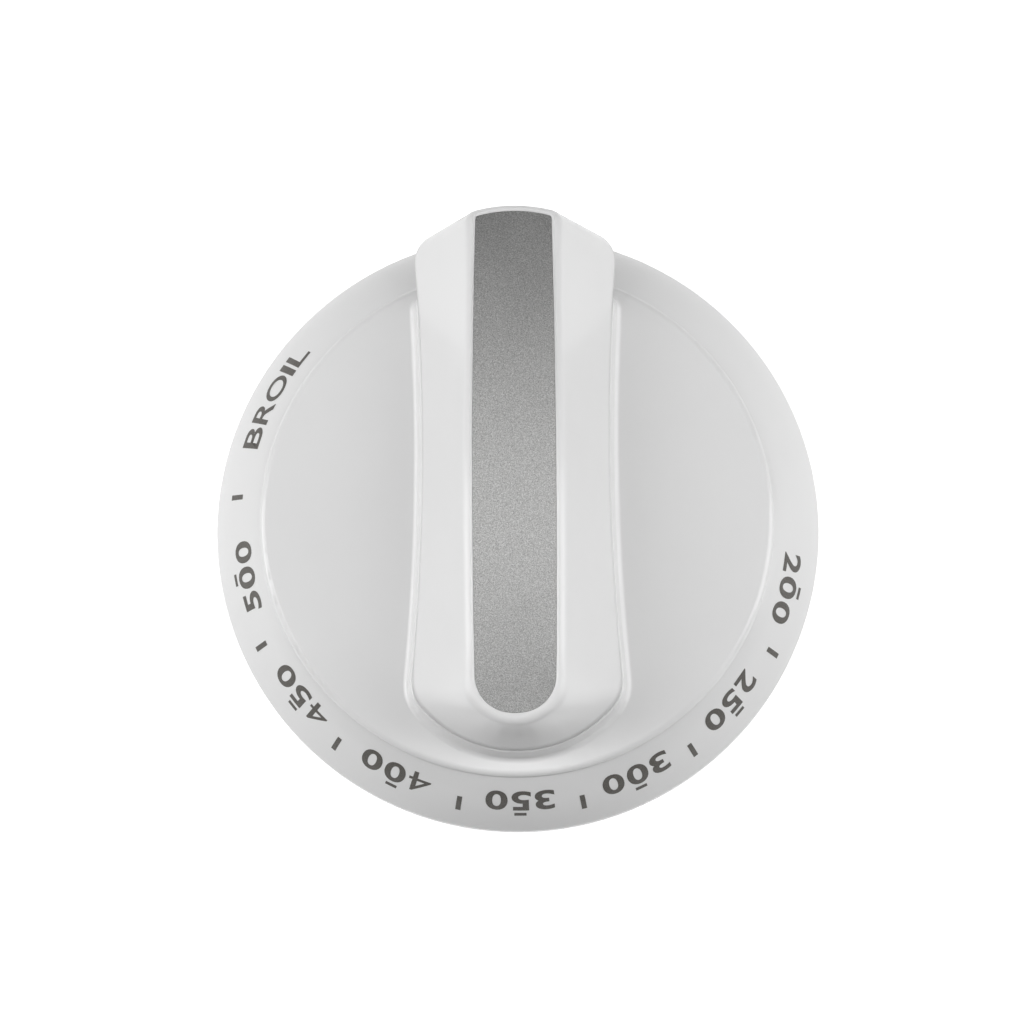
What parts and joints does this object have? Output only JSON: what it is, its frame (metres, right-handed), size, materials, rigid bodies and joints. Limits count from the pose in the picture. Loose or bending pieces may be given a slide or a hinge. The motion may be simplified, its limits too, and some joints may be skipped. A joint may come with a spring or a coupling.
{
  "type": "oven control knob",
  "caption": "White round oven control knob with a printed sloping dial skirt, a waisted pointer grip with a silver inlay, and a rear hub with a D socket for the control's shaft.",
  "frame": {"origin": "where the shaft axis meets the plane of the back rim", "axes": "+Z along the shaft axis towards the user, +Y towards the grip's pointer end"},
  "size_m": [0.0666, 0.0666, 0.0275],
  "materials": {
    "white_plastic": "moulded semi-gloss white",
    "silver_inlay": "fine-grained satin silver",
    "spring_steel": "bright rolled strip",
    "dial_print": "pad-printed dark warm grey"
  },
  "bodies": {
    "root": {"dial": "white_plastic", "grip": "white_plastic", "grip_inlay": "silver_inlay", "hub_spring": "spring_steel"}
  },
  "joints": []
}
